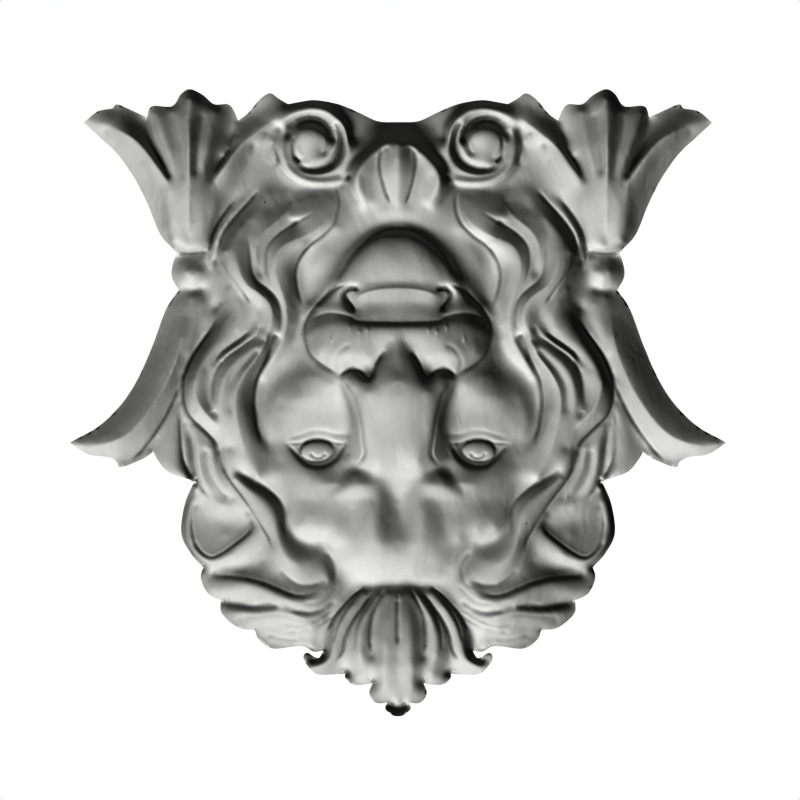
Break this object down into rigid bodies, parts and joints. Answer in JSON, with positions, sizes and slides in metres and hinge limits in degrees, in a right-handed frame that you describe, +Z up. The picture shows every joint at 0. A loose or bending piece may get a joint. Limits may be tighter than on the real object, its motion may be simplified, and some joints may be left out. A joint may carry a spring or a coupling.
{
  "type": "lion relief panel",
  "caption": "Cast lion's face relief with a wavy mane, a leaf crest, a leaf ornament at each side and scrolls below, flat at the back, to fix on a wall.",
  "frame": {"origin": "middle of the flat back, on the axis of symmetry and halfway up", "axes": "+Z up towards the crest, the relief faces -Y, +X across the face; the flat back looks along +Y"},
  "size_m": [0.4194, 0.0672, 0.4],
  "materials": {
    "plaster": "matt, unpainted pale grey plaster"
  },
  "bodies": {
    "root": {"lion_relief_panel": "plaster"}
  },
  "joints": []
}
